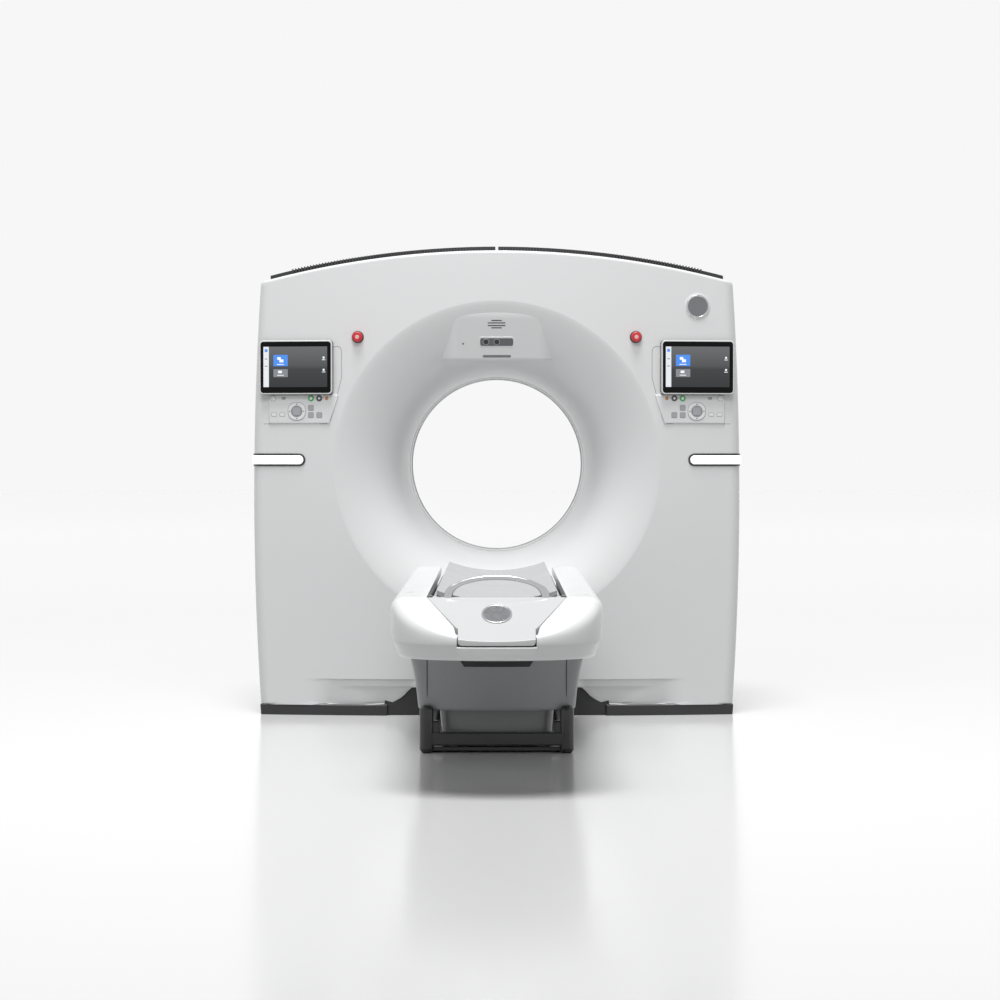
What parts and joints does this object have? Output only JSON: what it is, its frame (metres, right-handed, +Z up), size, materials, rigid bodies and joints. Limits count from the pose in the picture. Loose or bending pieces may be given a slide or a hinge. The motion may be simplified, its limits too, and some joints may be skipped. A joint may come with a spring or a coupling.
{
  "type": "ct scanner",
  "caption": "Hospital CT scanner: ring gantry with flared bore, control panels and a turning rotor, and a telescoping patient table whose cradle slides into the bore.",
  "frame": {"origin": "on the floor, straight under the isocentre, at the middle of the gantry's length", "axes": "+X to the right as seen from the table, +Y from the table into the gantry along the bore, +Z up"},
  "size_m": [2.0634, 3.49, 1.9622],
  "materials": {
    "gantry_cover": "satin",
    "plinth_black": "matte",
    "steel_frame": "satin",
    "aluminium_cast": "satin",
    "vent_black": "matte",
    "clear_ring": "gloss",
    "smoked_pane": "gloss",
    "tablet_case": "gloss",
    "keypad_grey": "satin",
    "key_grey": "satin",
    "key_green": "satin",
    "key_dark": "satin",
    "stop_red": "gloss",
    "handle_white": "gloss",
    "badge_disc": "polished",
    "motor_paint": "satin",
    "belt_rubber": "matte",
    "fan_plastic": "matte",
    "brass_ring": "satin",
    "table_cover": "satin",
    "skirt_grey": "satin",
    "cradle_shell": "satin",
    "grip_chrome": "polished"
  },
  "bodies": {
    "gantry": {"front_cover": "gantry_cover", "rear_cover": "gantry_cover", "side_cover_left": "gantry_cover", "side_cover_right": "gantry_cover", "top_cover": "gantry_cover", "top_vent_left": "vent_black", "top_vent_right": "vent_black", "scan_window": "clear_ring", "base_plinth": "plinth_black", "gantry_base_frame": "steel_frame", "stator_frame": "aluminium_cast", "bearing_outer_race": "steel_frame", "brush_block": "key_dark", "drive_motor": "motor_paint", "drive_belt": "belt_rubber", "fan_housing_left": "fan_plastic", "fan_housing_right": "fan_plastic", "tablet_left": "tablet_case", "tablet_right": "tablet_case", "keypad_left": "keypad_grey", "keypad_right": "keypad_grey", "side_handle_left": "handle_white", "side_handle_right": "handle_white", "gantry_badge": "badge_disc", "sensor_window": "smoked_pane", "cover_screws": "steel_frame", "table_base": "plinth_black", "column_outer": "aluminium_cast", "lower_skirt": "skirt_grey", "lift_motor": "motor_paint"},
    "rotor": {"rotor_drum": "aluminium_cast", "bearing_inner_race": "steel_frame", "slip_ring": "brass_ring", "xray_tube": "motor_paint", "collimator": "steel_frame", "detector_arc": "aluminium_cast", "hv_generator": "motor_paint", "heat_exchanger": "aluminium_cast"},
    "motor_pulley": {"drive_pulley": "steel_frame"},
    "fan_left": {"fan_left": "fan_plastic"},
    "fan_right": {"fan_right": "fan_plastic"},
    "table_top": {"column_inner": "aluminium_cast", "upper_skirt": "skirt_grey", "table_frame": "aluminium_cast", "table_cover": "table_cover", "cradle_drive": "motor_paint"},
    "middle_stage": {"column_middle": "aluminium_cast", "middle_skirt": "skirt_grey"},
    "carriage": {"carriage": "aluminium_cast"},
    "cradle": {"cradle": "cradle_shell", "cradle_end_cap": "table_cover", "cradle_handle": "grip_chrome"},
    "estop_left": {"estop_left": "stop_red"},
    "estop_right": {"estop_right": "stop_red"},
    "dial_left": {"dial_left": "key_grey"},
    "dial_right": {"dial_right": "key_grey"},
    "start_key_left": {"start_key_left": "key_green"},
    "start_key_right": {"start_key_right": "key_green"},
    "stop_key_left": {"stop_key_left": "key_dark"},
    "stop_key_right": {"stop_key_right": "key_dark"}
  },
  "joints": [
    {"name": "rotor_spin", "type": "hinge", "parent": "gantry", "child": "rotor", "pos_m": [0, 0, 1.05], "axis": [0, 1, 0], "continuous": true},
    {"name": "pulley_spin", "type": "hinge", "parent": "gantry", "child": "motor_pulley", "pos_m": [0.78, -0.2, 0.33], "axis": [0, 1, 0], "continuous": true},
    {"name": "fan_left_spin", "type": "hinge", "parent": "gantry", "child": "fan_left", "pos_m": [-0.6, 0.03, 1.745], "axis": [0, 0, 1], "continuous": true},
    {"name": "fan_right_spin", "type": "hinge", "parent": "gantry", "child": "fan_right", "pos_m": [0.6, 0.03, 1.745], "axis": [0, 0, 1], "continuous": true},
    {"name": "table_lift", "type": "slide", "parent": "gantry", "child": "table_top", "axis": [0, 0, 1], "range_m": [0, 0.36]},
    {"name": "middle_stage_lift", "type": "slide", "parent": "gantry", "child": "middle_stage", "axis": [0, 0, 1], "range_m": [0, 0.18]},
    {"name": "carriage_slide", "type": "slide", "parent": "table_top", "child": "carriage", "axis": [0, 1, 0], "range_m": [0, 0.81]},
    {"name": "cradle_slide", "type": "slide", "parent": "carriage", "child": "cradle", "axis": [0, 1, 0], "range_m": [0, 0.81]},
    {"name": "estop_left_press", "type": "slide", "parent": "gantry", "child": "estop_left", "axis": [0.0829, 0.9966, 0], "range_m": [0, 0.004], "stiffness_N_per_m": 1500},
    {"name": "dial_left_press", "type": "slide", "parent": "gantry", "child": "dial_left", "axis": [0.1176, 0.9931, 0], "range_m": [0, 0.0015], "stiffness_N_per_m": 900},
    {"name": "start_key_left_press", "type": "slide", "parent": "gantry", "child": "start_key_left", "axis": [0.1176, 0.9931, 0], "range_m": [0, 0.0015], "stiffness_N_per_m": 500},
    {"name": "stop_key_left_press", "type": "slide", "parent": "gantry", "child": "stop_key_left", "axis": [0.1176, 0.9931, 0], "range_m": [0, 0.0015], "stiffness_N_per_m": 500},
    {"name": "estop_right_press", "type": "slide", "parent": "gantry", "child": "estop_right", "axis": [-0.0829, 0.9966, 0], "range_m": [0, 0.004], "stiffness_N_per_m": 1500},
    {"name": "dial_right_press", "type": "slide", "parent": "gantry", "child": "dial_right", "axis": [-0.1176, 0.9931, 0], "range_m": [0, 0.0015], "stiffness_N_per_m": 900},
    {"name": "start_key_right_press", "type": "slide", "parent": "gantry", "child": "start_key_right", "axis": [-0.1176, 0.9931, 0], "range_m": [0, 0.0015], "stiffness_N_per_m": 500},
    {"name": "stop_key_right_press", "type": "slide", "parent": "gantry", "child": "stop_key_right", "axis": [-0.1176, 0.9931, 0], "range_m": [0, 0.0015], "stiffness_N_per_m": 500}
  ],
  "couplings": [
    {"joint": "pulley_spin", "follows": "rotor_spin", "ratio": 10},
    {"joint": "middle_stage_lift", "follows": "table_lift", "ratio": 0.5},
    {"joint": "carriage_slide", "follows": "table_lift", "ratio": 2.25},
    {"joint": "cradle_slide", "follows": "table_lift", "ratio": 2.25}
  ]
}
